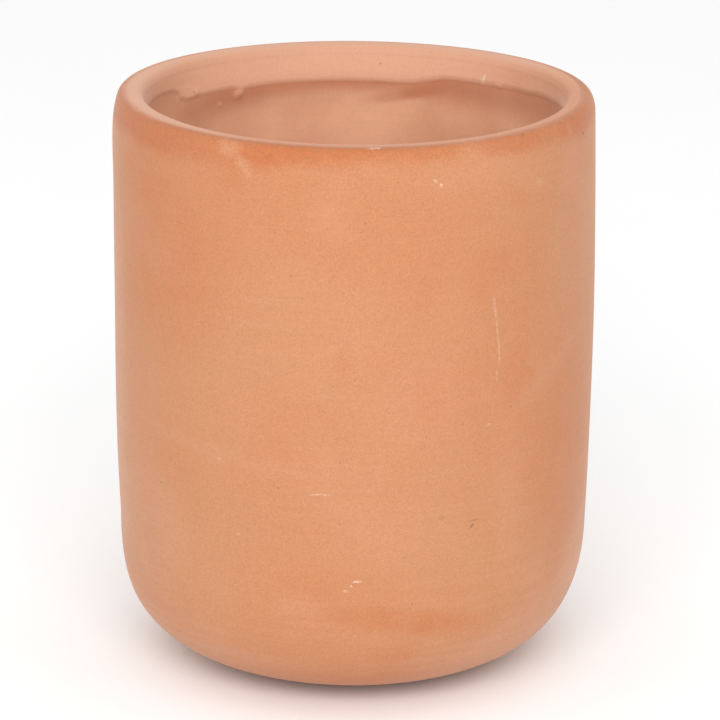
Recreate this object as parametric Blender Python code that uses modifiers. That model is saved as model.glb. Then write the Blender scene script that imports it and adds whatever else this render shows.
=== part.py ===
"""Round terracotta plant pot with a lift-out drain plug and four foot pads.

Metres, +Z up. The origin is on the pot's axis, at the height of the surface that the pads stand on.

The pot is one slip-cast piece of clay: a straight, very slightly bellied side, a large rounded bottom
corner, a soft outer rim with a flat lip, and a thicker band just inside the mouth. The drain plug drops
into the hole in the floor from inside and lifts out along +Z.
"""

import math

import bpy

# ---------------------------------------------------------------- driving dimensions (metres)
RIM_RADIUS = 0.0675          # outer radius where the rim's rounding starts
CLAY_HEIGHT = 0.1623         # underside of the foot ring to the lip
JOIN_GAP = 0.0003            # space between touching pieces: glue film, or a seat that can part

# outer shape of the clay
BASE_FLAT_RADIUS = 0.0335    # flat underside
CORNER_TOP_RADIUS = 0.0670   # side radius where the bottom corner ends
CORNER_HEIGHT = 0.0381
CORNER_POWER = 2.30          # superellipse power: 2 is a quarter ellipse, more is squarer
SIDE_BELLY = 0.00072         # how far the side bows out half way up
ROUNDING_HEIGHT = 0.0061     # outer rim rounding, measured down from the lip
ROUNDING_POWER = 2.5
LIP_OUTER_RADIUS = 0.0646

# inside of the clay
LIP_INNER_RADIUS = 0.0613
LIP_EDGE_ACROSS = 0.0006     # small worn chamfer on the lip's inner edge
LIP_EDGE_DOWN = 0.0012
BAND_EDGE_RADIUS = 0.0590    # narrowest place, at the band's lower edge
BAND_DEPTH = 0.0095          # lip down to the band's lower edge
UNDERCUT_HEIGHT = 0.0036     # hollow under the band, where the wall swings back out
UNDERCUT_POWER = 2.0
WALL_THICKNESS = 0.0067
FLOOR_THICKNESS = 0.0085

# drain hole and underside
HOLE_TOP_RADIUS = 0.0068
HOLE_BOTTOM_RADIUS = 0.0063
RECESS_RADIUS = 0.0165       # shallow hollow in the underside, inside the flat foot ring
RECESS_DEPTH = 0.0016

# drain plug
PLUG_HEAD_RADIUS = 0.0125
PLUG_HEAD_HEIGHT = 0.0028
PLUG_SHANK_TOP_RADIUS = 0.0064
PLUG_SHANK_BOTTOM_RADIUS = 0.0057
PLUG_SHANK_LENGTH = 0.0084   # head's underside to the tip
PLUG_GRIP_RADIUS = 0.0040
PLUG_NECK_RADIUS = 0.0026
PLUG_GRIP_HEIGHT = 0.0062
PLUG_NECK_HEIGHT = 0.0026    # head's top to the widening of the grip
PLUG_EDGE_RADIUS = 0.0008    # rounding of the head and the tip
PLUG_GRIP_EDGE_RADIUS = 0.0016

# foot pads
PAD_RADIUS = 0.0058
PAD_HEIGHT = 0.0022
PAD_EDGE_RADIUS = 0.0007
PAD_COUNT = 4
PAD_CIRCLE_RADIUS = 0.0240
PAD_FIRST_ANGLE = math.radians(45.0)

# smoothness of the turned shapes
POT_STEPS = 72
PLUG_STEPS = 36
PAD_STEPS = 32
CORNER_POINTS = 11
SIDE_POINTS = 4
ROUNDING_POINTS = 6
FILLET_POINTS = 4

CLAY_BOTTOM = PAD_HEIGHT + JOIN_GAP
CLAY_TOP = CLAY_BOTTOM + CLAY_HEIGHT
FLOOR_TOP = CLAY_BOTTOM + FLOOR_THICKNESS
MERGE = 0.00001


# ---------------------------------------------------------------- profile curves
def superellipse(power, steps):
    """Yield (across, up) from (0, 0) to (1, 1): a quarter superellipse that starts flat and ends upright."""
    for i in range(steps + 1):
        angle = 0.5 * math.pi * i / steps
        across = math.sin(angle) ** (2.0 / power)
        up = 1.0 - max(math.cos(angle), 0.0) ** (2.0 / power)
        yield across, up


def side_radius(share):
    """Outer radius of the side, with share 0 at the top of the corner and 1 where the rim rounding starts."""
    straight = CORNER_TOP_RADIUS + (RIM_RADIUS - CORNER_TOP_RADIUS) * share
    return straight + 4.0 * SIDE_BELLY * share * (1.0 - share)


def fillet(centre, radius, start_deg, end_deg, steps=FILLET_POINTS):
    """Points of an arc in the (radius, height) plane."""
    points = []
    for i in range(steps + 1):
        angle = math.radians(start_deg + (end_deg - start_deg) * i / steps)
        points.append((centre[0] + radius * math.cos(angle), centre[1] + radius * math.sin(angle)))
    return points


def outer_clay():
    """Outer outline from the lip down to the edge of the flat underside."""
    rounding_start = CLAY_TOP - ROUNDING_HEIGHT
    corner_top = CLAY_BOTTOM + CORNER_HEIGHT
    points = []
    for across, up in superellipse(ROUNDING_POWER, ROUNDING_POINTS):
        points.append((LIP_OUTER_RADIUS + (RIM_RADIUS - LIP_OUTER_RADIUS) * across,
                       CLAY_TOP - ROUNDING_HEIGHT * up))
    for i in range(1, SIDE_POINTS + 1):
        share = 1.0 - i / SIDE_POINTS
        points.append((side_radius(share), corner_top + (rounding_start - corner_top) * share))
    corner = [(BASE_FLAT_RADIUS + (CORNER_TOP_RADIUS - BASE_FLAT_RADIUS) * across,
               CLAY_BOTTOM + CORNER_HEIGHT * up)
              for across, up in superellipse(CORNER_POWER, CORNER_POINTS)]
    points.extend(reversed(corner[:-1]))
    return points


def underside_and_hole():
    """From the foot ring inward, up the recess and up through the drain hole to the floor."""
    recess_top = CLAY_BOTTOM + RECESS_DEPTH
    return [(RECESS_RADIUS, CLAY_BOTTOM), (RECESS_RADIUS - RECESS_DEPTH, recess_top),
            (HOLE_BOTTOM_RADIUS, recess_top), (HOLE_TOP_RADIUS, FLOOR_TOP)]


def inner_clay():
    """Inner outline from the floor up to the lip."""
    corner_top = CLAY_BOTTOM + CORNER_HEIGHT
    band_edge = CLAY_TOP - BAND_DEPTH
    undercut = band_edge - UNDERCUT_HEIGHT
    rounding_start = CLAY_TOP - ROUNDING_HEIGHT
    wall_foot_radius = CORNER_TOP_RADIUS - WALL_THICKNESS
    points = [(BASE_FLAT_RADIUS + (wall_foot_radius - BASE_FLAT_RADIUS) * across,
               FLOOR_TOP + (corner_top - FLOOR_TOP) * up)
              for across, up in superellipse(CORNER_POWER, CORNER_POINTS)]
    for i in range(1, SIDE_POINTS + 1):
        height = corner_top + (undercut - corner_top) * i / SIDE_POINTS
        share = (height - corner_top) / (rounding_start - corner_top)
        points.append((side_radius(share) - WALL_THICKNESS, height))
    wall_top_radius = points[-1][0]
    ledge = [(wall_top_radius + (BAND_EDGE_RADIUS - wall_top_radius) * up, undercut + UNDERCUT_HEIGHT * across)
             for across, up in superellipse(UNDERCUT_POWER, FILLET_POINTS)]
    points.extend(ledge[1:])
    points.append((LIP_INNER_RADIUS - LIP_EDGE_ACROSS, CLAY_TOP - LIP_EDGE_DOWN))
    points.append((LIP_INNER_RADIUS, CLAY_TOP))
    return points


def plug_outline():
    """Outline of the stopper from the top of its grip, down its outside, to the tip, on its own axis."""
    grip_centre = (PLUG_GRIP_RADIUS - PLUG_GRIP_EDGE_RADIUS, PLUG_GRIP_HEIGHT - PLUG_GRIP_EDGE_RADIUS)
    head_centre = (PLUG_HEAD_RADIUS - PLUG_EDGE_RADIUS, -PLUG_EDGE_RADIUS)
    points = [(0.0, PLUG_GRIP_HEIGHT)]
    points += fillet(grip_centre, PLUG_GRIP_EDGE_RADIUS, 90.0, -60.0)
    points += [(PLUG_NECK_RADIUS, PLUG_NECK_HEIGHT), (PLUG_NECK_RADIUS, PLUG_GRIP_EDGE_RADIUS),
               (PLUG_NECK_RADIUS + PLUG_GRIP_EDGE_RADIUS, 0.0)]
    points += fillet(head_centre, PLUG_EDGE_RADIUS, 90.0, 0.0)
    points += [(PLUG_HEAD_RADIUS, -PLUG_HEAD_HEIGHT), (PLUG_SHANK_TOP_RADIUS, -PLUG_HEAD_HEIGHT)]
    tip = -PLUG_HEAD_HEIGHT - PLUG_SHANK_LENGTH
    tip_centre = (PLUG_SHANK_BOTTOM_RADIUS - PLUG_EDGE_RADIUS, tip + PLUG_EDGE_RADIUS)
    points += fillet(tip_centre, PLUG_EDGE_RADIUS, 0.0, -90.0)
    points.append((0.0, tip))
    return points


def pad_outline():
    """Outline of one bumper pad from its glued top face down to the face it stands on."""
    centre = (PAD_RADIUS - PAD_EDGE_RADIUS, PAD_EDGE_RADIUS)
    points = [(0.0, PAD_HEIGHT), (PAD_RADIUS, PAD_HEIGHT)]
    points += fillet(centre, PAD_EDGE_RADIUS, 0.0, -90.0)
    points.append((0.0, 0.0))
    return points


# ---------------------------------------------------------------- scene helpers
def clear_scene():
    for item in list(bpy.data.objects):
        bpy.data.objects.remove(item, do_unlink=True)


def make_collection(name):
    collection = bpy.data.collections.new(name)
    bpy.context.scene.collection.children.link(collection)
    return collection


def make_material(name, colour, roughness):
    material = bpy.data.materials.new(name)
    material.use_nodes = True
    shader = material.node_tree.nodes["Principled BSDF"]
    shader.inputs["Base Color"].default_value = (*colour, 1.0)
    shader.inputs["Roughness"].default_value = roughness
    return material


def turned_mesh(name, outline, closed):
    """A mesh of the outline's edges, in the XZ plane, ready for a Screw modifier."""
    vertices = [(radius, 0.0, height) for radius, height in outline]
    edges = [(i, i + 1) for i in range(len(outline) - 1)]
    if closed:
        edges.append((len(outline) - 1, 0))
    mesh = bpy.data.meshes.new(name)
    mesh.from_pydata(vertices, edges, [])
    return mesh


def turned_object(name, mesh, steps, collection, material, location):
    """An object that turns its outline about its own Z axis."""
    item = bpy.data.objects.new(name, mesh)
    item.location = location
    collection.objects.link(item)
    if not mesh.materials:
        mesh.materials.append(material)
    screw = item.modifiers.new("turn", "SCREW")
    screw.axis = "Z"
    screw.angle = 2.0 * math.pi
    screw.steps = steps
    screw.render_steps = steps
    screw.use_merge_vertices = True
    screw.merge_threshold = MERGE
    screw.use_smooth_shade = True
    return item


# ---------------------------------------------------------------- the pieces
def make_pot_body(collection):
    outline = outer_clay() + underside_and_hole() + inner_clay()
    clay = make_material("terracotta", (0.68, 0.30, 0.15), 0.92)
    return turned_object("pot_body", turned_mesh("pot_body", outline, closed=True), POT_STEPS,
                         collection, clay, (0.0, 0.0, 0.0))


def make_drain_plug(collection):
    """The stopper: its origin is on its axis, at the top of its head."""
    rubber = make_material("plug_rubber", (0.20, 0.19, 0.18), 0.70)
    head_top = FLOOR_TOP + JOIN_GAP + PLUG_HEAD_HEIGHT
    return turned_object("drain_plug", turned_mesh("drain_plug", plug_outline(), closed=False), PLUG_STEPS,
                         collection, rubber, (0.0, 0.0, head_top))


def make_foot_pads(collection):
    rubber = make_material("pad_rubber", (0.10, 0.10, 0.10), 0.75)
    mesh = turned_mesh("foot_pad", pad_outline(), closed=False)
    for i in range(PAD_COUNT):
        angle = PAD_FIRST_ANGLE + 2.0 * math.pi * i / PAD_COUNT
        place = (PAD_CIRCLE_RADIUS * math.cos(angle), PAD_CIRCLE_RADIUS * math.sin(angle), 0.0)
        turned_object(f"foot_pad_{i + 1}", mesh, PAD_STEPS, collection, rubber, place)


def main():
    clear_scene()
    collection = make_collection("terracotta_pot")
    make_pot_body(collection)
    make_drain_plug(collection)
    make_foot_pads(collection)


main()
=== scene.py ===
"""Looks of the terracotta pot: slip-cast clay with a ragged band inside its mouth, a rubber drain plug and
rubber foot pads, on a plain pale floor.

Modelling code works in millimetres, and lathe() turns them into metres. Azimuth is the angle round the
pot's axis in degrees: 0 along +X, 90 along +Y, which is the far side, and -90 the near side.
"""

import math

import bpy
import numpy as np
from mathutils import Matrix, Vector, noise


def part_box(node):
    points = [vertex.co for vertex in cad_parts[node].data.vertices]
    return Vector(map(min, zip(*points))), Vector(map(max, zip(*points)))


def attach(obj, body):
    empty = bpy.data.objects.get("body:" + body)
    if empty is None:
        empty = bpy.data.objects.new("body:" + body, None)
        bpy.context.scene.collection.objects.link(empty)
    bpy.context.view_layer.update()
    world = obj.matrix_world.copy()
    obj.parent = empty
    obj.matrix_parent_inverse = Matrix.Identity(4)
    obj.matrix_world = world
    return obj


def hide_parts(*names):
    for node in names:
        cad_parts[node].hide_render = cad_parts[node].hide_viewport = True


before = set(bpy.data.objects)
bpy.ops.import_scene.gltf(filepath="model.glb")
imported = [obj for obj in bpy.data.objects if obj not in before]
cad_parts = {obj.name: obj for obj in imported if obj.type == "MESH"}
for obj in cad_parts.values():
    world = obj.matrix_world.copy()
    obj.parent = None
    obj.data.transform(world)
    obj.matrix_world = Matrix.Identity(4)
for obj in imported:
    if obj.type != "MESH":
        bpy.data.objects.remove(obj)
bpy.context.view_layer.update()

MM = 0.001
SEAM = 100.0                                 # azimuth where the unrolled wall coordinates begin and end

# ---------------------------------------------------------------- sizes of the clay (millimetres)
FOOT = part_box("pot_body")[0].z / MM          # underside of the foot ring
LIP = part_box("pot_body")[1].z / MM           # the flat lip
RIM_RADIUS = 67.5
BASE_FLAT_RADIUS = 33.5
CORNER_TOP_RADIUS = 67.0
CORNER_HEIGHT = 38.1
CORNER_POWER = 2.3
SIDE_BELLY = 0.72
ROUNDING_HEIGHT = 6.1
ROUNDING_POWER = 2.5
LIP_OUTER_RADIUS = 64.6
LIP_INNER_RADIUS = 61.5                      # where the flat lip starts to round over into the mouth
LIP_INNER_ROUND = 2.1
LIP_COLOUR_RADIUS = 63.4                     # where the lip's own colour ends, on its darker side
BAND_EDGE_RADIUS = 58.8
BAND_ZONE = 24.0                             # lip down to where the finely divided inside begins
WALL_THICKNESS = 6.7
FLOOR_THICKNESS = 8.5
INSIDE_RADIUS = 60.0                         # roughly, for distances along the wall inside the mouth
HOLE_TOP_RADIUS = 6.8
HOLE_BOTTOM_RADIUS = 6.3
HOLE_EDGE_ROUND = 0.5
RECESS_RADIUS = 16.5
RECESS_DEPTH = 1.6

COARSE = 240                                 # points round an ordinary ring
FINE = 3 * COARSE                            # points round a ring near the ragged band

# The band's lower edge: (azimuth, depth below the lip, height of the step under it, how far the wall is set
# back there, depth of the painted shade under the band)
BAND_EDGE = [
    (8, 5.9, 2.8, 0.5, 9.0), (24, 6.2, 2.8, 0.5, 12.0), (37, 7.2, 2.6, 0.5, 13.0),
    (52, 7.6, 2.6, 0.4, 13.0), (60, 7.7, 2.6, 0.4, 12.0), (64, 7.9, 2.6, 0.4, 11.0),
    (69, 8.9, 2.8, 0.4, 9.0), (73, 9.8, 3.0, 0.4, 6.0), (78, 10.0, 3.0, 0.4, 5.4),
    (86, 9.9, 2.6, 0.35, 5.4), (99, 9.7, 2.4, 0.3, 5.4), (113, 9.7, 2.2, 0.3, 6.2),
    (121, 10.0, 2.2, 0.3, 8.0), (128, 9.6, 2.2, 0.3, 10.5), (134, 9.8, 2.2, 0.4, 12.0),
    (140, 10.2, 2.2, 0.45, 12.0), (145, 10.3, 2.1, 0.45, 12.0), (147.6, 9.5, 2.1, 0.5, 12.0),
    (149.4, 7.5, 2.1, 0.5, 11.0), (152, 6.2, 2.1, 0.5, 10.5), (164, 5.8, 2.2, 0.5, 9.0),
    (173, 6.9, 2.4, 0.6, 8.0), (196, 8.9, 3.0, 0.9, 6.0), (222, 8.1, 2.4, 0.9, 7.0),
    (246, 9.6, 2.4, 0.8, 5.0), (272, 10.0, 2.6, 0.7, 4.0), (297, 8.8, 2.6, 0.9, 6.0),
    (322, 8.3, 2.4, 0.9, 7.5), (343, 6.9, 2.8, 0.7, 8.0),
]
# Tongues of slip that ran down from the edge: (azimuth, extra depth, and the width towards lower and towards
# higher azimuth)
DRIPS = [(124.6, 0.5, 2.4, 1.6), (186.0, 1.3, 2.2, 1.6), (236.0, 1.7, 3.0, 1.8), (311.0, 1.4, 2.4, 3.6)]
# Lumps of clay on the inside wall: (azimuth, depth below the lip, radius, height)
LUMPS = [
    (125.4, 13.0, 1.4, 0.40), (124.2, 12.3, 1.1, 0.20), (131.0, 15.3, 0.8, 0.24),
    (44.8, 8.3, 0.8, 0.22), (143.8, 9.8, 1.9, 0.18), (147.0, 9.0, 1.4, 0.14), (140.6, 9.5, 1.3, 0.14),
    (205.0, 15.5, 1.0, 0.50), (290.0, 13.8, 0.9, 0.45),
]
# The red that the kiln left below the rim: (azimuth, how far down it reaches from the lip, strength)
FLUSH_REACH = [
    (-165, 6.6, 0.95), (-155, 6.4, 1.00), (-146, 6.6, 0.90), (-136, 7.2, 0.80), (-128, 6.4, 0.62),
    (-122, 6.0, 0.60), (-117, 7.2, 0.75), (-111, 6.6, 0.95), (-103, 4.8, 0.92), (-94, 4.0, 0.90),
    (-86, 3.4, 0.86), (-78, 3.8, 0.74), (-70, 3.4, 0.72), (-63, 2.6, 0.50), (-55, 3.8, 0.72),
    (-46, 4.6, 0.80), (-37, 4.0, 0.64), (-28, 5.0, 1.00), (-20, 5.6, 0.88), (-8, 4.4, 0.60),
    (10, 5.4, 0.80), (32, 3.8, 0.60), (54, 6.2, 0.90), (76, 4.6, 0.70), (100, 7.0, 0.95),
    (124, 4.2, 0.70), (148, 6.0, 0.85), (172, 5.0, 0.75),
]

# ---------------------------------------------------------------- profile curves


def superellipse(power, steps):
    """(across, up) pairs from (0, 0) to (1, 1): a quarter superellipse, flat first and upright last."""
    angle = np.linspace(0.0, 0.5 * math.pi, steps + 1)
    return list(zip(np.sin(angle) ** (2.0 / power), 1.0 - np.abs(np.cos(angle)) ** (2.0 / power)))


def side_radius(height):
    """Outer radius of the slightly bellied side at a height."""
    share = (height - FOOT - CORNER_HEIGHT) / (LIP - ROUNDING_HEIGHT - FOOT - CORNER_HEIGHT)
    belly = 4.0 * SIDE_BELLY * share * (1.0 - share)
    return CORNER_TOP_RADIUS + (RIM_RADIUS - CORNER_TOP_RADIUS) * share + belly


def between(start, end, steps):
    """Points after start, evenly spaced, up to and including end."""
    return [tuple(p) for p in np.linspace(start, end, steps + 1)[1:]]


def arc(centre, radius, start, end, steps):
    """Points of an arc in the (radius, height) plane, angles in degrees."""
    angles = np.radians(np.linspace(start, end, steps + 1))
    return [(centre[0] + radius * math.cos(a), centre[1] + radius * math.sin(a)) for a in angles]


def rounded_corner(top_radius, low, steps):
    """From the flat base out and up round the bottom corner, outside or inside."""
    high = FOOT + CORNER_HEIGHT
    return [(BASE_FLAT_RADIUS + (top_radius - BASE_FLAT_RADIUS) * across, low + (high - low) * up)
            for across, up in superellipse(CORNER_POWER, steps)]


def outside_outline():
    """From the lip's outer edge down the side and round the corner to the flat foot ring."""
    points = [(LIP_OUTER_RADIUS + (RIM_RADIUS - LIP_OUTER_RADIUS) * across, LIP - ROUNDING_HEIGHT * up)
              for across, up in superellipse(ROUNDING_POWER, 14)]
    for height in np.linspace(LIP - ROUNDING_HEIGHT, FOOT + CORNER_HEIGHT, 56)[1:-1]:
        points.append((side_radius(height), height))
    return points + rounded_corner(CORNER_TOP_RADIUS, FOOT, 30)[::-1]


def underside_outline():
    """Across the foot ring, into the shallow recess, and up through the drain hole with its eased edges."""
    ceiling = FOOT + RECESS_DEPTH
    floor = FOOT + FLOOR_THICKNESS
    ease = HOLE_EDGE_ROUND
    points = between((BASE_FLAT_RADIUS, FOOT), (RECESS_RADIUS + 0.4, FOOT), 4)
    points += between(points[-1], (RECESS_RADIUS - RECESS_DEPTH, ceiling), 3)
    points += between(points[-1], (HOLE_BOTTOM_RADIUS + 2.0 * ease, ceiling), 3)
    points += arc((HOLE_BOTTOM_RADIUS + ease, ceiling + ease), ease, -90.0, -180.0, 4)
    points += between((HOLE_BOTTOM_RADIUS, ceiling + ease), (HOLE_TOP_RADIUS, floor - 2.0 * ease), 3)
    points += arc((HOLE_TOP_RADIUS + ease, floor - ease), ease, 180.0, 90.0, 4)
    return points


def inside_outline():
    """From the drain hole out over the floor, round the inner corner and up to the finely divided zone."""
    floor = FOOT + FLOOR_THICKNESS
    points = between((HOLE_TOP_RADIUS + HOLE_EDGE_ROUND, floor), (BASE_FLAT_RADIUS, floor), 9)
    points += rounded_corner(CORNER_TOP_RADIUS - WALL_THICKNESS, floor, 26)[1:]
    for height in np.linspace(FOOT + CORNER_HEIGHT, LIP - BAND_ZONE, 33)[1:]:
        points.append((side_radius(height) - WALL_THICKNESS, height))
    return points


# ---------------------------------------------------------------- the ragged band
def around(table, column, azimuth):
    """A table's column at any azimuth: eased from one row to the next, right round the pot."""
    known = np.array([row[0] for row in table], float)
    value = np.array([row[column] for row in table], float)
    known = np.append(known, known[0] + 360.0)
    value = np.append(value, value[0])
    angle = known[0] + np.mod(azimuth - known[0], 360.0)
    place = np.clip(np.searchsorted(known, angle, side="right") - 1, 0, len(known) - 2)
    share = (angle - known[place]) / (known[place + 1] - known[place])
    eased = 0.5 * share + 0.5 * share * share * (3.0 - 2.0 * share)
    return value[place] + (value[place + 1] - value[place]) * eased


def turn_between(azimuth, centre):
    """Signed angle from centre to azimuth, -180 to 180."""
    return np.mod(azimuth - centre + 180.0, 360.0) - 180.0


def rough(azimuth, height, scale, seed):
    """Smooth noise over the wall, about -1 to 1, for arrays of azimuth (degrees) and height (mm)."""
    spin = np.radians(azimuth)
    x, y = INSIDE_RADIUS * np.cos(spin), INSIDE_RADIUS * np.sin(spin)
    spots = zip(x, y, np.broadcast_to(height, spin.shape))
    return np.array([noise.noise(Vector((x / scale + seed, y / scale, z / scale))) for x, y, z in spots])


def face_radius(below):
    """Radius of the band's face at a depth below the lip: the rounded inner edge, then almost upright."""
    round_share = np.clip(1.0 - below / LIP_INNER_ROUND, 0.0, 1.0)
    rounded = LIP_INNER_RADIUS - LIP_INNER_ROUND * np.sqrt(1.0 - round_share ** 2)
    lean = (LIP_INNER_RADIUS - LIP_INNER_ROUND - BAND_EDGE_RADIUS) * np.clip(below / 8.0, 0.0, 1.0)
    return rounded - lean


def edge_depth(azimuth):
    """Depth of the band's lower edge below the lip: the slow wave, torn stretches and drips."""
    torn = torn_share(azimuth)
    depth = around(BAND_EDGE, 1, azimuth) + rim_rise(azimuth)
    depth += 0.14 * rough(azimuth, 0.0, 5.0, 3.1) + torn * 0.45 * rough(azimuth, 0.0, 2.2, 9.7)
    for centre, extra, below_width, above_width in DRIPS:
        offset = turn_between(azimuth, centre)
        depth += extra * np.exp(-np.abs(offset / np.where(offset < 0.0, below_width, above_width)) ** 2.2)
    return depth


def torn_share(azimuth):
    """1 on the torn stretch of the band's edge, 0 away from it."""
    return np.exp(-(turn_between(azimuth, 145.0) / 6.0) ** 4)


def band_rings():
    """Rings of the finely divided zone, from the wall below the band up over its edge to the lip."""
    azimuth = np.arange(FINE) * 360.0 / FINE
    ledge, set_back = (around(BAND_EDGE, column, azimuth) for column in (2, 3))
    depth = edge_depth(azimuth)
    torn = torn_share(azimuth)
    edge = LIP - depth
    proud = face_radius(depth) + 0.15 * rough(azimuth, 40.0, 14.0, 5.5)

    def wall(height):
        nominal = side_radius(height) - WALL_THICKNESS
        swell = np.exp(-((edge - height) / 7.0) ** 2)
        return nominal + (proud + set_back - nominal) * swell

    rings = []
    start = LIP - BAND_ZONE
    hollow = edge - ledge
    for share in np.linspace(0.0, 1.0, 25)[1:]:
        height = start + (hollow - start) * share
        rings.append((wall(height), height))
    for share in np.linspace(0.0, 1.0, 15)[1:]:
        height = hollow + ledge * share
        up = share * share * (3.0 - 2.0 * share)
        rings.append((wall(height) + (proud - wall(height)) * up ** 1.3, height))
    for share in np.linspace(0.0, 1.0, 15)[1:]:
        below = depth + (LIP_INNER_ROUND - depth) * share
        settle = np.clip(2.5 * (1.0 - share), 0.0, 1.0)
        rings.append((face_radius(below) + (proud - face_radius(depth)) * settle, LIP - below))
    rings = [lumpy(azimuth, radius, height, torn) for radius, height in rings]
    for angle in np.radians(np.linspace(180.0, 90.0, 7)[1:]):
        radius = LIP_INNER_RADIUS + LIP_INNER_ROUND * math.cos(angle)
        height = LIP - LIP_INNER_ROUND * (1.0 - math.sin(angle))
        rings.append((np.full(FINE, radius), np.full(FINE, height)))
    return rings


def lump_share(azimuth, below, lump):
    """1 on the middle of a lump, falling to 0 beyond its edge."""
    centre, depth, size = lump[:3]
    sideways = np.radians(turn_between(azimuth, centre)) * INSIDE_RADIUS
    far = (sideways ** 2 + (below - depth) ** 2) / size ** 2
    return np.exp(-far ** 1.5)


def lumpy(azimuth, radius, height, torn):
    """One ring with the stuck lumps and the torn stretch pushed inwards."""
    below = LIP - height
    for lump in LUMPS:
        radius = radius - lump[3] * lump_share(azimuth, below, lump)
    near_edge = np.exp(-((below - 9.5) / 2.6) ** 4)
    return radius - 0.22 * torn * near_edge * rough(azimuth, height, 2.2, 21.0), height


# ---------------------------------------------------------------- unevenness of a cast and sponged pot
# Broad swellings and hollows of the side: (azimuth, height above the foot, spread in degrees, spread in
# height, change of radius)
SWELLINGS = [
    (190, 15, 50, 10, 0.62), (180, 38, 45, 12, -0.25), (0, 24, 50, 16, -0.30), (180, 150, 45, 10, 0.34),
    (180, 159.5, 40, 3.2, -0.46), (180, 102, 55, 24, -0.22), (0, 92, 55, 36, 0.27),
    (95, 60, 40, 30, -0.25), (70, 18, 40, 14, 0.30), (250, 120, 50, 25, 0.12),
]


def rim_rise(azimuth):
    """How far the lip stands above (or below) a level plane."""
    spin = np.radians(azimuth)
    return -0.30 + 0.28 * np.cos(2.0 * spin) - 0.20 * np.cos(spin)


def handmade(azimuth, radius, height):
    """A ring with the cast's unevenness added to its radii and heights."""
    spin = np.radians(azimuth)
    rise = (height - FOOT) / (LIP - FOOT)
    change = 0.05 * np.cos(5.0 * spin - height / 17.0 + 1.3)
    for centre, up, turn, spread, amount in SWELLINGS:
        near = (turn_between(azimuth, centre) / turn) ** 2 + ((height - FOOT - up) / spread) ** 2
        change = change + amount * np.exp(-near)
    change = change * np.clip(radius / 30.0 - 0.6, 0.0, 1.0)
    return radius + change, height + rim_rise(azimuth) * np.clip(rise, 0.0, 1.0) ** 6


# ---------------------------------------------------------------- turning rings into a mesh
def strips(count_a, count_b):
    """Faces between ring a and the next ring b, as lists of (ring, step round) corners."""
    if count_a == count_b:
        for i in range(count_a):
            yield [(0, i), (1, i), (1, i + 1), (0, i + 1)]
    elif count_a == 1:
        for i in range(count_b):
            yield [(0, i), (1, i), (1, i + 1)]
    elif count_b == 1:
        for i in range(count_a):
            yield [(0, i), (1, i), (0, i + 1)]
    elif count_b == 3 * count_a:
        for i in range(count_a):
            yield [(0, i), (1, 3 * i), (1, 3 * i + 1)]
            yield [(0, i), (1, 3 * i + 1), (1, 3 * i + 2), (0, i + 1)]
            yield [(0, i + 1), (1, 3 * i + 2), (1, 3 * i + 3)]
    else:
        for i in range(count_b):
            yield [(0, 3 * i), (1, i), (0, 3 * i + 1)]
            yield [(0, 3 * i + 1), (1, i), (1, i + 1), (0, 3 * i + 2)]
            yield [(0, 3 * i + 2), (1, i + 1), (0, 3 * i + 3)]


def lathe(name, rings, closed=False, uneven=None):
    """A turned mesh. A ring is (radii, heights), arrays of one length; a ring of one point is a pole.

    The UV map unrolls the surface: across it is once round, and up it is the length along the outline.
    """
    counts = [len(radius) for radius, height in rings]
    starts = np.concatenate([[0], np.cumsum(counts)])
    vertices = []
    for radius, height in rings:
        azimuth = np.arange(len(radius)) * 360.0 / len(radius)
        if uneven:
            radius, height = uneven(azimuth, radius, height)
        spin = np.radians(azimuth)
        vertices.append(np.stack([radius * np.cos(spin), radius * np.sin(spin), height], axis=1) * MM)
    middle = np.array([(np.mean(radius), np.mean(height)) for radius, height in rings])
    if closed:
        middle = np.vstack([middle, middle[:1]])
    run = np.concatenate([[0.0], np.cumsum(np.hypot(*np.diff(middle, axis=0).T))])
    run /= run[-1]
    faces = []
    corners = []
    for k in range(len(rings) if closed else len(rings) - 1):
        pair = (k, (k + 1) % len(rings))
        for face in strips(counts[pair[0]], counts[pair[1]]):
            faces.append([int(starts[pair[side]]) + step % counts[pair[side]] for side, step in face])
            widest = max(counts[pair[0]], counts[pair[1]])
            for side, step in face:
                share = step / (counts[pair[side]] if counts[pair[side]] > 1 else widest)
                corners.append((share, run[k + side]))
    mesh = bpy.data.meshes.new(name)
    mesh.from_pydata(np.vstack(vertices).tolist(), [], faces)
    layer = mesh.uv_layers.new(name="OFBake")
    layer.data.foreach_set("uv", np.array(corners, np.float32).ravel())
    mesh.shade_smooth()
    mesh.validate()
    made = bpy.data.objects.new(name, mesh)
    bpy.context.scene.collection.objects.link(made)
    return made


def plain_rings(outline, count):
    """Rings of one radius and height each; a point on the axis becomes a pole."""
    rings = []
    for radius, height in outline:
        points = 1 if radius == 0.0 else count
        rings.append((np.full(points, float(radius)), np.full(points, height)))
    return rings


def add_attribute(piece, name, values):
    """A number at each point of a piece, for its material to read."""
    attribute = piece.data.attributes.new(name, "FLOAT", "POINT")
    attribute.data.foreach_set("value", np.asarray(values, np.float32))


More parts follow.
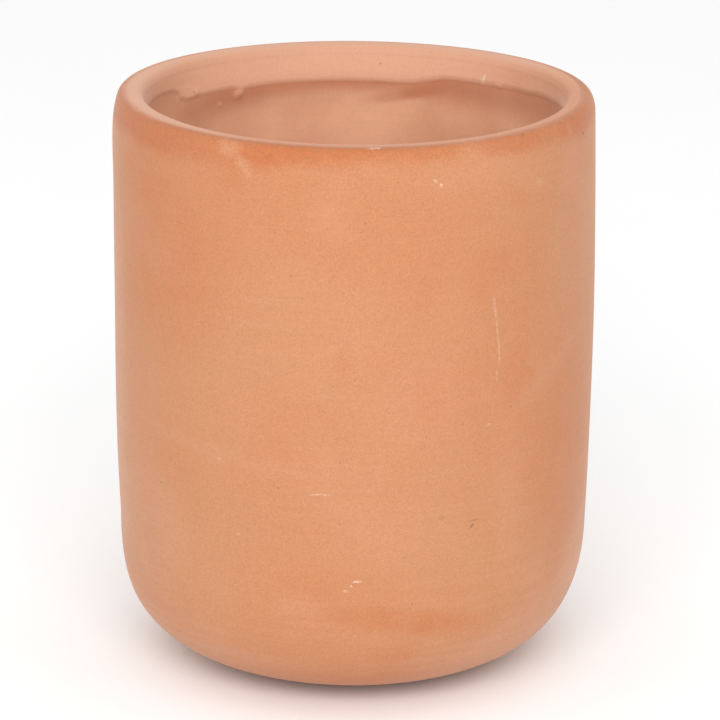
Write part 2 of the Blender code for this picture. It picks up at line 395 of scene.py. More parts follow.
def hollow_shade_share(azimuth, height, under):
    """How strongly the painted shade of the hollow under the band shows, under millimetres below the band's
    edge.
    """
    fade = np.clip((under / around(BAND_EDGE, 4, azimuth) - 0.25) / 0.95, 0.0, 1.0)
    # The painted shade is weaker towards both sides, where the scene's own light already shades the hollow
    # more
    lighter_left = 0.66 * np.clip(turn_between(azimuth, 126.0) / 24.0, 0.0, 1.0)
    lighter_right = 0.25 * np.clip(turn_between(65.0, azimuth) / 20.0, 0.0, 1.0)
    hollow = (1.0 - fade * fade * (3.0 - 2.0 * fade)) * (1.0 - lighter_left - lighter_right)
    hollow *= 1.0 - film_share(azimuth, height - FOOT, LIGHT_PATCHES)
    hollow = np.maximum(hollow, film_share(azimuth, height - FOOT, HOLLOW_DARK_PATCHES))
    # Lumps stand out of the hollow, so the painted shade is weaker on them
    for lump in LUMPS:
        hollow *= 1.0 - 0.60 * lump_share(azimuth, LIP - height, lump)
    return hollow


def store_masks(pot, first_inside):
    """Stores what the clay's material reads; first_inside is the number of the first point inside."""
    place = np.empty(3 * len(pot.data.vertices))
    pot.data.vertices.foreach_get("co", place)
    x, y, z = place.reshape(-1, 3).T / MM
    azimuth = np.degrees(np.arctan2(y, x))
    inside = (np.arange(len(z)) >= first_inside).astype(float)
    known = np.arange(FINE + 1) * 360.0 / FINE - 180.0
    under = np.interp(azimuth, known, LIP - edge_depth(known) + rim_rise(known)) - z
    # The band's pale colour runs 0.45 mm down over the step under its edge, painted light that offsets the
    # step's own shading; the painted shade of the hollow starts below it
    below_step = np.clip((under - 0.45) / 1.2, 0.0, 1.0)
    add_attribute(pot, "inside", inside)
    # hollow: the painted shade under the band
    add_attribute(pot, "hollow", hollow_shade_share(azimuth, z, under) * below_step * inside)
    add_attribute(pot, "band", (1.0 - below_step) * inside)
    add_attribute(pot, "flush", around(FLUSH_REACH, 2, azimuth))
    add_attribute(pot, "flush_rise", z - LIP + around(FLUSH_REACH, 1, azimuth))
    for name in OUTSIDE_FILMS:
        outer = film_share(azimuth, z - FOOT, OUTSIDE_FILMS[name])
        inner = film_share(azimuth, z - FOOT, INSIDE_FILMS[name])
        add_attribute(pot, name, np.where(inside > 0.5, inner, outer))


# ---------------------------------------------------------------- building materials
class Nodes:
    """One material's node tree. Each method adds a node and returns its output, for later calls to use."""

    def __init__(self, name):
        self.material = bpy.data.materials.new(name)
        self.material.use_nodes = True
        self.tree = self.material.node_tree
        self.shader = self.tree.nodes["Principled BSDF"]
        place = self.tree.nodes.new("ShaderNodeTexCoord").outputs["Object"]
        self.place = self.vector("SCALE", place, scale=1.0 / MM)
        self.waves = {}

    def feed(self, socket, value):
        if isinstance(value, bpy.types.NodeSocket):
            self.tree.links.new(value, socket)
        else:
            socket.default_value = value

    def math(self, operation, first, second=0.0, third=0.0, clamp=False):
        made = self.tree.nodes.new("ShaderNodeMath")
        made.operation = operation
        made.use_clamp = clamp
        for socket, value in zip(made.inputs, (first, second, third)):
            self.feed(socket, value)
        return made.outputs[0]

    def vector(self, operation, first, second=(0.0, 0.0, 0.0), scale=1.0):
        made = self.tree.nodes.new("ShaderNodeVectorMath")
        made.operation = operation
        self.feed(made.inputs[0], first)
        if operation == "SCALE":
            self.feed(made.inputs["Scale"], scale)
        else:
            self.feed(made.inputs[1], second)
        return made.outputs["Vector"]

    def length(self, value):
        made = self.tree.nodes.new("ShaderNodeVectorMath")
        made.operation = "LENGTH"
        self.feed(made.inputs[0], value)
        return made.outputs["Value"]

    def grey(self, value):
        made = self.tree.nodes.new("ShaderNodeCombineXYZ")
        for socket in made.inputs:
            self.feed(socket, value)
        return made.outputs[0]

    def parts(self, value):
        made = self.tree.nodes.new("ShaderNodeSeparateXYZ")
        self.feed(made.inputs[0], value)
        return made.outputs

    def noise(self, scale, detail=2.0, rough=0.5, place=None, stretch=(1.0, 1.0, 1.0), warp=0.0):
        """Noise from 0 to 1; scale is cells per millimetre."""
        made = self.tree.nodes.new("ShaderNodeTexNoise")
        source = self.vector("MULTIPLY", place or self.place, stretch)
        self.feed(made.inputs["Vector"], source)
        self.feed(made.inputs["Scale"], scale)
        self.feed(made.inputs["Detail"], detail)
        self.feed(made.inputs["Roughness"], rough)
        self.feed(made.inputs["Distortion"], warp)
        return made.outputs["Fac"]

    def pores(self, scale, size):
        """Small round pits, at most one in each cell of 1 / scale millimetres; size is their share of it."""
        made = self.tree.nodes.new("ShaderNodeTexVoronoi")
        self.feed(made.inputs["Vector"], self.place)
        self.feed(made.inputs["Scale"], scale)
        chance = self.parts(made.outputs["Color"])
        width = self.math("MAXIMUM", self.product(self.ramp(chance[0], 0.72, 1.0), size), 0.001)
        return self.ramp(self.math("DIVIDE", made.outputs["Distance"], width), 1.0, 0.55)

    def ramp(self, value, low, high):
        """0 at low, 1 at high, eased between; low may be the larger."""
        made = self.tree.nodes.new("ShaderNodeMapRange")
        made.interpolation_type = "SMOOTHSTEP"
        self.feed(made.inputs["Value"], value)
        self.feed(made.inputs["From Min"], min(low, high))
        self.feed(made.inputs["From Max"], max(low, high))
        self.feed(made.inputs["To Min"], 0.0 if low < high else 1.0)
        self.feed(made.inputs["To Max"], 1.0 if low < high else 0.0)
        return made.outputs["Result"]

    def mix(self, share, first, second, blend="MIX"):
        made = self.tree.nodes.new("ShaderNodeMix")
        made.data_type = "RGBA"
        made.blend_type = blend
        self.feed(made.inputs[0], share)
        self.feed(made.inputs[6], colour4(first))
        self.feed(made.inputs[7], colour4(second))
        return made.outputs[2]

    def attribute(self, name):
        made = self.tree.nodes.new("ShaderNodeAttribute")
        made.attribute_name = name
        return made.outputs["Fac"]

    def total(self, *values):
        """Sum of several values."""
        result = values[0]
        for value in values[1:]:
            result = self.math("ADD", result, value)
        return result

    def product(self, *values, clamp=False):
        """Product of several values."""
        result = values[0]
        for value in values[1:]:
            result = self.math("MULTIPLY", result, value, clamp=clamp)
        return result

    def swing(self, wave, amount=1.0):
        """A noise, 0 to 1, turned into a change to either side of 0, amount from end to end."""
        return self.product(self.math("SUBTRACT", wave, 0.5), amount)

    def unroll(self):
        """Wall coordinates in millimetres: along the turn, from a seam at the back, and up from the foot."""
        x, y, z = self.parts(self.place)
        spin = self.math("ARCTAN2", y, x)
        turned = self.math("SUBTRACT", spin, math.radians(SEAM))
        along = self.product(self.math("WRAP", turned, 0.0, -2.0 * math.pi), RIM_RADIUS)
        self.up = self.math("SUBTRACT", z, FOOT)
        made = self.tree.nodes.new("ShaderNodeCombineXYZ")
        self.feed(made.inputs[0], along)
        self.feed(made.inputs[1], self.up)
        self.wall = made.outputs[0]
        self.out = self.length(self.vector("MULTIPLY", self.place, (1.0, 1.0, 0.0)))

    def patch(self, azimuth, height, width, tall, tilt=0.0, soft=0.5, ragged=0.0, grain=0.2):
        """A soft oval mask, width by tall millimetres from its middle to its edge, with a noisy outline."""
        made = self.tree.nodes.new("ShaderNodeMapping")
        made.vector_type = "TEXTURE"
        turned = (azimuth - SEAM) % 360.0 - 360.0
        made.inputs["Location"].default_value = (math.radians(turned) * RIM_RADIUS, height, 0.0)
        made.inputs["Rotation"].default_value = (0.0, 0.0, math.radians(tilt))
        made.inputs["Scale"].default_value = (width, tall, 1.0)
        self.feed(made.inputs["Vector"], self.wall)
        far = self.length(made.outputs[0])
        if ragged:
            if (grain, ragged) not in self.waves:
                self.waves[grain, ragged] = self.swing(self.noise(grain, 3.0), 2.0 * ragged)
            far = self.math("ADD", far, self.waves[grain, ragged])
        return self.ramp(far, 1.0 + soft, 1.0 - soft)

    def bump(self, height, strength=1.0):
        """Feeds the shader's normal from a height in millimetres."""
        made = self.tree.nodes.new("ShaderNodeBump")
        made.inputs["Strength"].default_value = strength
        made.inputs["Distance"].default_value = MM
        self.feed(made.inputs["Height"], height)
        self.feed(self.shader.inputs["Normal"], made.outputs["Normal"])


def colour4(value):
    return (*value, 1.0) if isinstance(value, tuple) and len(value) == 3 else value


# ---------------------------------------------------------------- fired clay
CLAY = (0.477, 0.193, 0.087)
CLAY_TAN = (0.477, 0.212, 0.100)             # yellower stretches
CLAY_PINK = (0.509, 0.228, 0.121)            # paler stretches
CLAY_DEEP_AND_SHADE = (0.461, 0.159, 0.060)            # where the surface was rubbed; along the bottom edge, painted shade
FLUSH = (0.434, 0.130, 0.044)                # the red that the kiln left below the rim
HAZE_AND_SHEEN = (0.580, 0.345, 0.235)                 # thin chalky film; at the left edge, painted sheen
CHALK = (0.600, 0.365, 0.215)                # yellower chalky dabs
LIME = (0.760, 0.600, 0.480)                 # white specks and chips
IRON = (0.180, 0.085, 0.050)                 # dark specks
LIP_CLAY = (0.545, 0.228, 0.118)
LIP_PALE = (0.598, 0.314, 0.201)             # the lip's paler colour, most towards -X and +Y
LIP_DIRT = (0.350, 0.115, 0.050)             # thin line round the lip's outer edge
BAND_CLAY = (0.715, 0.390, 0.252)
INNER_CLAY = (0.752, 0.412, 0.256)
# Painted shade in the hollow under the band's overhang: the inner clay darkened as if shadowed
HOLLOW_SHADE = (0.552, 0.234, 0.127)

# Marks on the outside: (azimuth, height above the foot, half width, half height, tilt, how strong)
LIME_MARKS = [
    (-85.2, 162.0, 1.9, 0.45, 0, 0.95), (-71.1, 152.5, 0.7, 0.35, -40, 0.7),
    (-69.8, 151.3, 0.55, 0.4, -60, 0.65), (-88.7, 40.2, 1.3, 0.3, 3, 0.75),
    (-91.5, 37.4, 0.8, 0.4, -10, 0.38), (-90.2, 38.8, 0.45, 0.3, 0, 0.5),
    (-97.4, 65.2, 2.9, 0.30, 3, 0.45), (-117.7, 51.4, 0.6, 0.4, 0, 0.26),
    (-122.6, 72.1, 0.5, 0.4, 0, 0.26), (-57.0, 82.3, 0.8, 0.4, 5, 0.30),
    (-55.7, 115.0, 0.5, 3.2, 8, 0.24), (-55.0, 109.3, 0.25, 4.2, 7, 0.35),
    (-54.3, 102.6, 0.3, 3.2, 3, 0.32), (-54.8, 96.0, 0.3, 1.8, 0, 0.20),
    (38.0, 121.0, 0.6, 0.5, 0, 0.7), (62.0, 66.0, 6.0, 0.3, 28, 0.35), (118.0, 148.0, 0.8, 0.5, 0, 0.7),
    (152.0, 33.0, 1.0, 0.5, 0, 0.6), (168.0, 92.0, 0.3, 6.0, -6, 0.3), (12.0, 52.0, 0.6, 0.5, 0, 0.6),
    (84.0, 28.0, 1.4, 0.4, 0, 0.6),
]
# Chalky dabs, softer than the chips
CHALK_MARKS = [
    (-119.8, 159.6, 3.1, 2.0, -14, 0.27), (-116.2, 156.3, 1.6, 3.3, 38, 0.26),
    (-29.2, 159.6, 1.0, 2.2, 10, 0.14), (-42.0, 147.5, 1.4, 1.4, 0, 0.18),
    (132.0, 155.5, 1.8, 4.0, -25, 0.50), (158.0, 150.0, 2.4, 1.6, 10, 0.40),
]
IRON_MARKS = [
    (-79.9, 152.8, 0.25, 0.25, 0, 0.6), (-21.3, 156.1, 0.45, 0.30, -35, 1.0),
    (-46.4, 161.4, 0.35, 0.22, 0, 0.6), (-60.9, 53.7, 0.9, 0.35, 40, 0.60),
    (-60.2, 55.3, 1.1, 0.26, 5, 0.36), (-68.8, 57.4, 0.9, 0.7, 0, 0.18),
    (-88.0, 118.0, 0.2, 0.2, 0, 0.4), (-130.0, 108.0, 0.2, 0.2, 0, 0.4),
    (-101.0, 136.0, 0.2, 0.2, 0, 0.3), (22.0, 88.0, 0.4, 0.4, 0, 0.7), (63.0, 139.0, 0.3, 0.3, 0, 0.6),
    (121.0, 101.0, 0.4, 0.4, 0, 0.7), (139.0, 70.0, 0.3, 0.3, 0, 0.6), (188.0, 146.0, 0.4, 0.4, 0, 0.6),
    (218.0, 60.0, 0.3, 0.3, 0, 0.5),
]
# The same inside the mouth
INSIDE_LIME = [
    (50.6, 154.9, 0.62, 1.45, 24, 0.95), (46.0, 154.2, 0.5, 0.4, 0, 0.35),
    (228.0, 150.0, 0.5, 1.2, 20, 0.6),
]
INSIDE_IRON = [
    (142.3, 152.9, 0.35, 0.35, 0, 0.4), (82.8, 156.4, 0.35, 0.35, 0, 0.5),
    (301.0, 153.0, 0.4, 0.3, 0, 0.6), (64.0, 118.0, 0.4, 0.4, 0, 0.6), (190.0, 84.0, 0.5, 0.4, 0, 0.6),
]
# Films and rubbed places, with painted shade along the bottom and a painted sheen strip at the left edge,
# for each tint:
# (azimuth, height above the foot, half width, half height, tilt, how strong)
OUTSIDE_FILMS = {
    "haze_and_sheen": (
        (-39, 92, 14, 2.6, 30, 0.10), (-26, 99.5, 9, 2.6, 20, 0.09), (-41, 15.5, 43, 9.5, 20, 0.13),
        (-12, 34, 18, 12, 24, 0.24), (-122, 73.5, 26, 1.8, -7, 0.09), (-150, 46, 18, 20, 0, 0.14),
        (-165, 44, 9, 14, 0, 0.08), (-165, 14, 30, 12, -16, 0.14), (-120, 12, 26, 6, -4, 0.10),
        # The narrow tall strip at -173 is painted sheen along the left edge
        (-102, 31.5, 8, 1.6, 0, 0.16), (-173, 80, 14, 62, 0, 0.26), (178, 163, 40, 5, 0, 0.50),
        (44, 112, 32, 8, -14, 0.22), (45, 22, 34, 12, -10, 0.30), (145, 14, 30, 11, 14, 0.30),
        (96, 60, 22, 4, -30, 0.22),
    ),
    "pink": (
        (-51, 57, 5, 27, 5, 0.45), (-41, 15.5, 43, 9.5, 20, 0.40), (-74, 91, 14, 15, 0, 0.32),
        (-58, 153, 22, 4, 0, 0.35), (-85, 62, 30, 10, -28, 0.30), (40, 70, 14, 34, 12, 0.50),
        (104, 92, 12, 30, -8, 0.40),
    ),
    "tan": (
        (-140, 84, 34, 17, -8, 0.60), (-118.5, 151.5, 3.6, 2.8, 0, 0.35), (-108, 56, 34, 12, -8, 0.55),
        (-136, 40, 36, 20, 0, 0.50), (-100, 20, 20, 5, 0, 0.40), (156, 96, 26, 20, 10, 0.50),
        (10, 128, 14, 18, 0, 0.40), (88, 130, 24, 14, 6, 0.45),
    ),
    "deep_and_shade": (
        (-78, 28, 22, 3.8, -8, 0.55), (-68, 25.2, 9, 3.0, -4, 0.20), (-118.5, 151.5, 3.8, 3.0, 0, 0.40),
        (-92, 38, 18, 6, -5, 0.20), (-136, 126, 20, 26, -14, 0.38), (-150, 148, 15, 9, 10, 0.50),
        (-50, 122, 15, 13, 0, 0.32), (-31, 64, 12, 28, 0, 0.30), (144, 46, 24, 8, 4, 0.60),
        # The two wide bands at the foot, at -92 and 88, are painted shade along the bottom edge
        (70, 40, 20, 7, -6, 0.50), (-92, 3, 56, 7, 0, 0.68), (88, 3, 70, 6, 0, 0.40),
    ),
}
INSIDE_FILMS = {
    "haze_and_sheen": ((20, 96, 30, 22, -6, 0.18), (230, 70, 44, 14, 4, 0.20), (90, 60, 30, 9, 5, 0.2)),
    "pink": ((132, 112, 40, 16, 8, 0.30), (300, 120, 26, 18, 0, 0.30)),
    "tan": ((60, 130, 22, 14, 0, 0.30), (250, 128, 30, 12, 0, 0.40), (30, 157.5, 24, 4.0, 0, 0.20)),
    "deep_and_shade": (
        (340, 60, 22, 10, 0, 0.20), (24, 156.5, 20, 3.6, 0, 0.12), (157, 158, 14, 5, 0, 0.16),
        (71, 148.6, 9, 2.2, -10, 0.26),
    ),
}
# Darker patches under the band, in the same form, painted in the hollow's shade colour, which stay dark
# below the hollow
HOLLOW_DARK_PATCHES = (
    (70.5, 148.6, 7.0, 1.9, -10, 0.80), (77, 147.4, 11.0, 2.0, -12, 0.50),
    (215, 143.0, 14.0, 3.0, 8, 0.60),
)
# Places close under the band where the painted shade is weaker, in the same form
LIGHT_PATCHES = ((76, 150.4, 8.0, 1.3, -6, 0.24), (240, 149.0, 12.0, 2.0, 5, 0.30))


def film_share(azimuth, height, films):
    """How strongly a list of soft films covers each point, 0 to 1."""
    bare = np.ones_like(azimuth)
    for centre, up, width, tall, tilt, strength in films:
        along = np.radians(turn_between(azimuth, centre)) * RIM_RADIUS
        rise = height - up
        lean = math.radians(tilt)
        far = np.hypot((along * math.cos(lean) + rise * math.sin(lean)) / width,
                       (rise * math.cos(lean) - along * math.sin(lean)) / tall)
        near = np.clip(1.5 - far, 0.0, 1.0)
        bare *= 1.0 - strength * near * near * (3.0 - 2.0 * near)
    return 1.0 - bare


def find_lip(n):
    """Where the lip is, the thin dirty line round its outer edge, and how pale it is: most at -X and +Y."""
    x, y = n.parts(n.place)[:2]
    waver = n.swing(n.noise(0.16, 3.0), 1.8)
    fine_waver = n.swing(n.noise(1.6, 2.0), 0.9)
    high = n.ramp(n.up, LIP - FOOT - 4.2, LIP - FOOT - 0.9)
    pale = n.math("MAXIMUM", n.ramp(y, 0.0, 48.0), n.ramp(x, -22.0, -60.0))
    end = n.total(LIP_COLOUR_RADIUS, n.product(pale, 2.3))
    past = n.math("SUBTRACT", n.total(n.out, waver, fine_waver), end)
    spread = n.total(0.8, n.product(pale, 2.0))
    lip = n.math("DIVIDE", n.product(past, -1.0), spread, clamp=True)
    rim = n.product(n.ramp(past, -0.8, 0.0), n.ramp(past, 1.6, 0.4))
    return n.product(high, lip), n.product(high, rim), pale


def add_marks(n, colour, marks, tint, where, flecks, soft=0.5, ragged=0.7, grain=1.7):
    """Paints a list of small marks on a colour."""
    mask = 0.0
    for azimuth, height, width, tall, tilt, strength in marks:
        spot = n.patch(azimuth, height, width, tall, tilt, soft=soft, ragged=ragged, grain=grain)
        mask = n.math("MAXIMUM", mask, n.product(spot, strength))
    mask = n.product(where, flecks, mask)
    return n.mix(mask, colour, tint)


def add_films(n, colour, streaky):
    """Mixes in the films, rubbed places, painted shade and painted sheen that film_share() stored on the
    mesh.
    """
    for name, tint in (("tan", CLAY_TAN), ("pink", CLAY_PINK), ("deep_and_shade", CLAY_DEEP_AND_SHADE), ("haze_and_sheen", HAZE_AND_SHEEN)):
        share = n.product(n.attribute(name), streaky, clamp=True)
        colour = n.mix(share, colour, tint)
    return colour


def outside_colour(n, grain, brush, patchy):
    """Colour of the side and the round corner."""
    colour = n.mix(n.ramp(n.noise(0.018, 3.0, 0.5), 0.38, 0.66), CLAY, CLAY_TAN)
    colour = n.mix(n.product(n.ramp(n.noise(0.030, 3.0, 0.55), 0.50, 0.72), 0.50), colour, CLAY_PINK)
    colour = n.mix(n.product(n.ramp(n.noise(0.045, 4.0, 0.6), 0.55, 0.75), 0.40), colour, CLAY_DEEP_AND_SHADE)
    low = n.ramp(n.up, 90.0, 20.0)
    lines = n.product(n.ramp(brush, 0.45, 0.75), n.total(0.05, n.product(low, 0.08)))
    colour = n.mix(lines, colour, HAZE_AND_SHEEN)
    colour = add_films(n, colour, n.total(n.product(n.ramp(brush, 0.30, 0.72), 0.25), patchy))
    sink = n.swing(n.noise(0.10, 5.0, 0.65), 5.0)
    red = n.ramp(n.math("ADD", n.attribute("flush_rise"), sink), -3.2, 2.2)
    sandy = n.total(n.product(n.ramp(grain, 0.32, 0.68), 0.56), 0.60)
    return n.mix(n.product(red, n.attribute("flush"), sandy, clamp=True), colour, FLUSH)


def inside_colour(n, brush, patchy):
    """Colour of the band, the painted shade of the hollow under it, the wall and the floor."""
    colour = n.mix(n.ramp(n.noise(0.035, 3.0, 0.55), 0.35, 0.70), INNER_CLAY, CLAY_PINK)
    colour = n.mix(0.60, colour, INNER_CLAY)
    colour = n.mix(n.product(n.ramp(brush, 0.45, 0.80), 0.15), colour, HAZE_AND_SHEEN)
    # Painted shade of the hollow under the band, with a little noise
    hollow = n.attribute("hollow")
    shade = n.product(hollow, n.total(0.84, n.product(n.noise(0.12, 2.0), 0.4)), clamp=True)
    colour = n.mix(shade, colour, HOLLOW_SHADE)
    band = n.mix(n.product(n.ramp(n.noise(0.07, 3.0), 0.45, 0.75), 0.5), BAND_CLAY, INNER_CLAY)
    colour = n.mix(n.attribute("band"), colour, band)
    colour = add_films(n, colour, patchy)
    floor_dust = n.product(n.ramp(n.up, 26.0, 9.0), n.ramp(n.noise(0.05, 4.0), 0.35, 0.65))
    return n.mix(n.product(floor_dust, 0.30), colour, HAZE_AND_SHEEN)


def make_clay():
    n = Nodes("fired_clay")
    n.unroll()
    inside = n.attribute("inside")
    outside = n.math("SUBTRACT", 1.0, n.ramp(inside, 0.02, 0.10))
    within = n.ramp(inside, 0.90, 0.98)
    grain = n.noise(1.7, 2.0, 0.65)
    sand = n.noise(0.85, 3.0, 0.65)
    brush = n.noise(0.60, 3.0, 0.6, stretch=(0.05, 0.05, 1.0), warp=0.3)
    flecks = n.ramp(n.noise(2.6, 1.0), 0.42, 0.56)
    patchy = n.total(n.product(n.ramp(n.noise(0.09, 4.0, 0.6), 0.30, 0.70), 0.5), 0.65)
    colour = n.mix(inside, outside_colour(n, grain, brush, patchy), inside_colour(n, brush, patchy))
    lip, lip_rim, pale = find_lip(n)
    colour = n.mix(lip, colour, n.mix(pale, LIP_CLAY, LIP_PALE))
    dirt = n.total(n.product(n.ramp(sand, 0.40, 0.60), 0.30), n.product(patchy, 0.35))
    dirt = n.product(dirt, n.math("SUBTRACT", 0.75, n.product(pale, 0.6)))
    colour = n.mix(n.product(lip_rim, dirt), colour, LIP_DIRT)
    colour = add_marks(n, colour, LIME_MARKS, LIME, outside, flecks)
    colour = add_marks(n, colour, CHALK_MARKS, CHALK, outside, 1.0, soft=0.8, ragged=0.9, grain=0.45)
    colour = add_marks(n, colour, IRON_MARKS, IRON, outside, 1.0)
    colour = add_marks(n, colour, INSIDE_LIME, LIME, within, flecks)
    colour = add_marks(n, colour, INSIDE_IRON, IRON, within, 1.0)
    rougher = n.total(0.45, n.product(outside, 0.55))
    speckle = n.total(n.swing(grain), n.swing(sand), n.swing(n.noise(3.4, 1.0), 1.5))
    flushed = n.product(n.ramp(n.attribute("flush_rise"), -3.0, 1.0), outside)
    speckle = n.product(speckle, n.total(rougher, n.product(flushed, 0.9)))
    light_and_dark = n.total(1.0, n.product(speckle, 0.19))
    colour = n.mix(1.0, colour, n.grey(light_and_dark), "MULTIPLY")
    # Small pits, sunk by the bump below and darkened with the dark speck colour
    pores = n.product(n.pores(0.30, 0.085), outside)
    colour = n.mix(n.product(pores, 0.35), colour, IRON)
    n.feed(n.shader.inputs["Base Color"], colour)
    n.feed(n.shader.inputs["Roughness"], n.total(0.74, n.product(sand, 0.16)))
    n.shader.inputs["Specular IOR Level"].default_value = 0.35
    n.shader.inputs["Sheen Weight"].default_value = 0.22
    n.shader.inputs["Sheen Roughness"].default_value = 0.45
    n.shader.inputs["Sheen Tint"].default_value = (1.0, 0.86, 0.77, 1.0)
    skin = n.total(n.product(grain, 0.05), n.product(sand, 0.06), n.product(brush, 0.04))
    n.bump(n.total(n.product(skin, rougher), n.product(pores, -0.15)))
    return n.material


def make_pot():
    outline = outside_outline() + underside_outline()
    inner = inside_outline()
    rings = plain_rings(outline + inner, COARSE) + band_rings()
    pot = lathe("clay_shell", rings, closed=True, uneven=handmade)
    store_masks(pot, len(outline) * COARSE)
    pot.data.materials.append(make_clay())
    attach(pot, "pot")
    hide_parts("pot_body")
    return pot


# ---------------------------------------------------------------- rubber plug
PLUG_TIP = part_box("drain_plug")[0].z / MM
PLUG_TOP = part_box("drain_plug")[1].z / MM
HEAD_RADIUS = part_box("drain_plug")[1].x / MM
HEAD_TOP = PLUG_TOP - 6.2                    # the head's upper face, at the grip's foot
HEAD_UNDER = HEAD_TOP - 2.8
GRIP_RADIUS = 4.0
NECK_RADIUS = 2.6
SHANK_TOP_RADIUS = 6.4
SHANK_TIP_RADIUS = 5.7
RIB_HEIGHTS = (1.2, 3.7, 6.0)                # below the head
RIB_PROUD = 0.22
GRIP_FLUTES = 12
FLUTE_DEPTH = 0.42
PLUG_POINTS = 168
PLUG_COLOURS = ((0.052, 0.048, 0.045), (0.074, 0.068, 0.063), (0.360, 0.215, 0.145))  # dark, worn, dust


def shank_outline():
    """From the head's underside down the tapered shank with its three sealing ribs."""
    length = HEAD_UNDER - PLUG_TIP
    points = []
    for share in np.linspace(0.0, 1.0, 49)[:-3]:
        down = share * length
        taper = SHANK_TOP_RADIUS + (SHANK_TIP_RADIUS - SHANK_TOP_RADIUS) * share
        ribs = sum(math.exp(-((down - at) / 0.32) ** 2) for at in RIB_HEIGHTS)
        points.append((taper + RIB_PROUD * ribs, HEAD_UNDER - down))
    return points


def plug_outline():
    """From the middle of the grip's dished top, down the outside, to the hollow in the tip."""
    shoulder = GRIP_RADIUS - 1.1
    dimple = PLUG_TOP - 0.30
    points = [(0.0, dimple), (0.5, dimple), (0.7, dimple - 0.08), (2.2, dimple)]
    points += arc((shoulder, PLUG_TOP - 1.1), 1.1, 100.0, 0.0, 9)
    points += between((GRIP_RADIUS, PLUG_TOP - 1.1), (GRIP_RADIUS, PLUG_TOP - 2.5), 3)
    points += arc((GRIP_RADIUS - 0.8, PLUG_TOP - 2.5), 0.8, 0.0, -70.0, 6)[1:]
    points += between(points[-1], (NECK_RADIUS, PLUG_TOP - 3.9), 3)
    points += between(points[-1], (NECK_RADIUS, HEAD_TOP + 1.3), 3)
    points += arc((NECK_RADIUS + 1.3, HEAD_TOP + 1.0), 1.3, 180.0, 270.0, 7)[1:]
    dish = HEAD_TOP - 0.3
    points += between(points[-1], (HEAD_RADIUS - 2.4, dish), 6)
    points += [(HEAD_RADIUS - 2.1, dish + 0.08), (HEAD_RADIUS - 1.8, HEAD_TOP - 0.06)]
    points.append((HEAD_RADIUS - 1.5, HEAD_TOP))
    points += arc((HEAD_RADIUS - 0.8, HEAD_TOP - 0.8), 0.8, 90.0, 0.0, 7)
    middle = 0.5 * (HEAD_TOP + HEAD_UNDER)
    points += [(HEAD_RADIUS, middle + 0.12), (HEAD_RADIUS + 0.10, middle), (HEAD_RADIUS, middle - 0.12)]
    points += arc((HEAD_RADIUS - 0.4, HEAD_UNDER + 0.4), 0.4, 0.0, -90.0, 5)
    points += between(points[-1], (SHANK_TOP_RADIUS + 0.6, HEAD_UNDER), 4)
    points += shank_outline()[1:]
    points += arc((SHANK_TIP_RADIUS - 0.5, PLUG_TIP + 0.5), 0.5, 0.0, -90.0, 5)
    points += between(points[-1], (2.9, PLUG_TIP), 3)
    points += arc((2.9, PLUG_TIP + 0.4), 0.4, 270.0, 180.0, 4)[1:]
    points += between(points[-1], (2.2, PLUG_TIP + 4.2), 3)
    points += arc((1.6, PLUG_TIP + 4.2), 0.6, 0.0, 90.0, 4)[1:]
    points.append((0.0, PLUG_TIP + 4.8))
    return points


def fluted_grip(azimuth, radius, height):
    """The grip's flutes, which fade out above and below it."""
    spin = np.radians(azimuth)
    top = np.clip((PLUG_TOP - 0.3 - height) / 0.8, 0.0, 1.0)
    bottom = np.clip((height - PLUG_TOP + 3.4) / 0.8, 0.0, 1.0)
    groove = np.abs(np.sin(0.5 * GRIP_FLUTES * spin)) ** 1.6
    on_grip = np.clip(radius - NECK_RADIUS, 0.0, 1.0) * np.clip(HEAD_RADIUS - 4.0 - radius, 0.0, 1.0)
    return radius - FLUTE_DEPTH * (1.0 - groove) * top * bottom * on_grip, height


def make_rubber(name, dark, worn, dust, dusty):
    """Moulded rubber: satin grain, a greyish bloom, and clay dust; dusty is how much of that lies on it."""
    n = Nodes(name)
    bloom = n.noise(0.12, 3.0, 0.5)
    grain = n.noise(5.0, 2.0, 0.6)
    colour = n.mix(n.ramp(bloom, 0.30, 0.75), dark, worn)
    fine_powder = n.ramp(n.noise(2.6, 4.0, 0.7), 0.50, 0.80)
    powder = n.product(fine_powder, n.ramp(n.noise(0.25, 2.0), 0.35, 0.65))
    colour = n.mix(n.product(powder, dusty), colour, dust)
    shade = n.total(0.90, n.product(grain, 0.20))
    n.feed(n.shader.inputs["Base Color"], n.mix(1.0, colour, n.grey(shade), "MULTIPLY"))
    roughness = n.total(0.52, n.product(bloom, 0.22), n.product(powder, 0.1))
    n.feed(n.shader.inputs["Roughness"], roughness)
    n.shader.inputs["Specular IOR Level"].default_value = 0.45
    n.shader.inputs["Sheen Weight"].default_value = 0.08
    n.bump(n.total(n.product(grain, 0.03), n.product(bloom, 0.03)))
    return n.material


def make_plug():
    plug = lathe("plug_rubber_body", plain_rings(plug_outline(), PLUG_POINTS), uneven=fluted_grip)
    plug.data.materials.append(make_rubber("plug_rubber", *PLUG_COLOURS, 0.40))
    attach(plug, "plug")
    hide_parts("drain_plug")


# ---------------------------------------------------------------- foot pads and their adhesive discs
PAD_POINTS = 96
PAD_RING_RADII = (1.5, 2.9, 4.3)             # shallow grooves moulded into the underside
PAD_RING_DEPTH = 0.16
PAD_COLOURS = ((0.030, 0.030, 0.030), (0.044, 0.043, 0.042), (0.340, 0.220, 0.160))   # dark, worn, dust
TAPE_COLOURS = ((0.360, 0.345, 0.320), (0.440, 0.420, 0.390), (0.300, 0.180, 0.120))  # for the discs


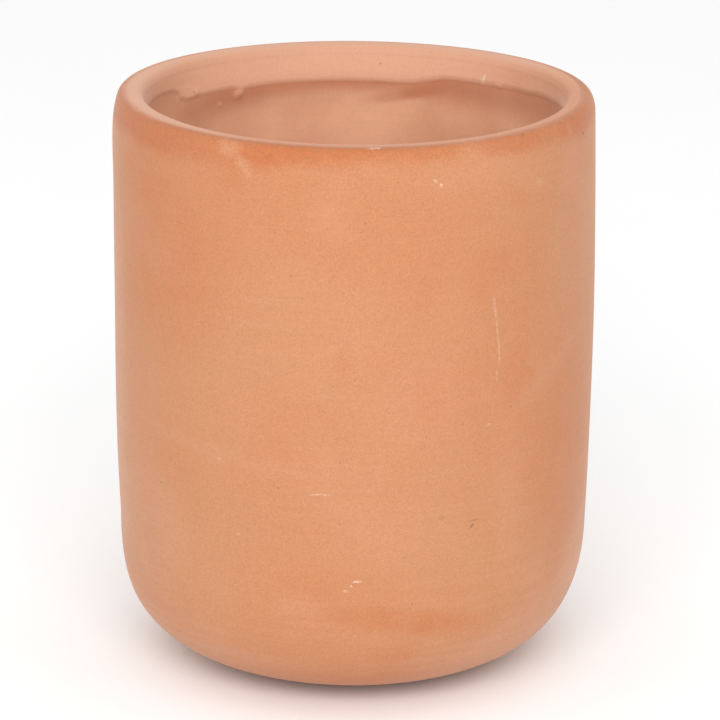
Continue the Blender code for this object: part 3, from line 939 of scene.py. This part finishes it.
def pad_outline(radius, height):
    """From the middle of the glued top face to the middle of the grooved underside."""
    points = [(0.0, height)] + between((0.0, height), (radius - 0.25, height), 5)
    points += arc((radius - 0.25, height - 0.25), 0.25, 90.0, 0.0, 4)[1:]
    points += [(radius + 0.03, 0.55 * height)]
    points += arc((radius - 0.7, 0.7), 0.7, 0.0, -90.0, 8)
    for out in np.linspace(radius - 0.7, 0.0, 41)[1:-1]:
        grooves = sum(math.exp(-((out - at) / 0.22) ** 2) for at in PAD_RING_RADII)
        points.append((float(out), PAD_RING_DEPTH * grooves))
    points.append((0.0, 0.0))
    return points


def make_pads():
    rubber = make_rubber("pad_rubber", *PAD_COLOURS, 0.35)
    tape = make_rubber("pad_adhesive", *TAPE_COLOURS, 0.30)
    for number in range(1, 5):
        node = "foot_pad_%d" % number
        low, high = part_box(node)
        radius = 0.5 * (high.x - low.x) / MM
        height = (high.z - low.z) / MM
        place = Matrix.Translation((0.5 * (low.x + high.x), 0.5 * (low.y + high.y), low.z))
        pad = lathe("pad_rubber_%d" % number, plain_rings(pad_outline(radius, height), PAD_POINTS))
        disc = [(0.0, FOOT - 0.02), (radius - 0.7, FOOT - 0.02), (radius - 0.62, 0.5 * (FOOT + height)),
                (radius - 0.7, height - 0.05), (0.0, height - 0.05)]
        glue = lathe("pad_adhesive_%d" % number, plain_rings(disc, PAD_POINTS))
        for piece, material in ((pad, rubber), (glue, tape)):
            piece.data.transform(place)
            piece.data.materials.append(material)
            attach(piece, "pot")
        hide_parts(node)


# ---------------------------------------------------------------- floor, light and camera
CAMERA_LENS = 212.8
CAMERA_PITCH = math.radians(16.91)
CAMERA_ROLL = math.radians(0.323)
CAMERA_DISTANCE = 18.0 * RIM_RADIUS * MM
AIM = Vector((1.9 * MM, 0.0, (FOOT + 83.2) * MM))


def make_floor():
    bpy.ops.mesh.primitive_grid_add(x_subdivisions=8, y_subdivisions=8, size=12.0, location=(0.0, 0.0, 0.0))
    floor = bpy.context.object
    floor.name = "floor"
    n = Nodes("pale_floor")
    n.feed(n.shader.inputs["Base Color"], n.mix(n.noise(0.02), (0.955, 0.955, 0.955), (0.97, 0.97, 0.97)))
    n.shader.inputs["Roughness"].default_value = 0.9
    floor.data.materials.append(n.material)


def make_light():
    world = bpy.data.worlds.new("studio")
    bpy.context.scene.world = world
    world.use_nodes = True
    background = world.node_tree.nodes["Background"]
    background.inputs["Color"].default_value = (1.0, 1.0, 1.0, 1.0)
    background.inputs["Strength"].default_value = 0.88
    lamp = bpy.data.lights.new("front_softbox", "AREA")
    lamp.shape = "RECTANGLE"
    lamp.size = 1.6
    lamp.size_y = 1.2
    lamp.energy = 26.0
    item = bpy.data.objects.new("front_softbox", lamp)
    item.location = (-0.05, -1.70, 1.05)
    item.rotation_euler = (AIM - item.location).to_track_quat("-Z", "Y").to_euler()
    bpy.context.scene.collection.objects.link(item)


def make_camera():
    data = bpy.data.cameras.new("camera")
    data.lens = CAMERA_LENS
    data.sensor_width = 36.0
    camera = bpy.data.objects.new("camera", data)
    back = Vector((0.0, -math.cos(CAMERA_PITCH), math.sin(CAMERA_PITCH)))
    camera.matrix_world = (Matrix.Translation(AIM + CAMERA_DISTANCE * back)
                           @ Matrix.Rotation(0.5 * math.pi - CAMERA_PITCH, 4, "X")
                           @ Matrix.Rotation(CAMERA_ROLL, 4, "Z"))
    bpy.context.scene.collection.objects.link(camera)
    bpy.context.scene.camera = camera


make_pot()
make_plug()
make_pads()
make_floor()
make_light()
make_camera()
bpy.context.scene.view_settings.view_transform = "Standard"
